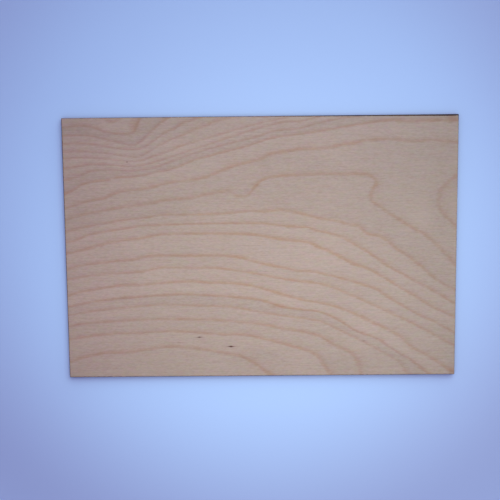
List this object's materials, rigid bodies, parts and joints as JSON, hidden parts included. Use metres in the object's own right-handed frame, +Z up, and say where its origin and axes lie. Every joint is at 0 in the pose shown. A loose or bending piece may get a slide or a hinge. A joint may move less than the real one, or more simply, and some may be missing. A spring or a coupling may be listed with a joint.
{
  "type": "plywood sheet",
  "caption": "Flat rectangular birch plywood sheet with figured rotary-cut face veneer and dark laser-cut edges; thin stock for cutting, gluing and facing.",
  "frame": {"origin": "centre of the underside, on the surface that the sheet lies on", "axes": "+X along the sheet's length and its face grain, +Y across the grain, +Z up out of the top face"},
  "size_m": [0.3, 0.2, 0.003],
  "materials": {
    "birch_plywood": "satin"
  },
  "bodies": {
    "root": {"plywood_sheet": "birch_plywood"}
  },
  "joints": []
}
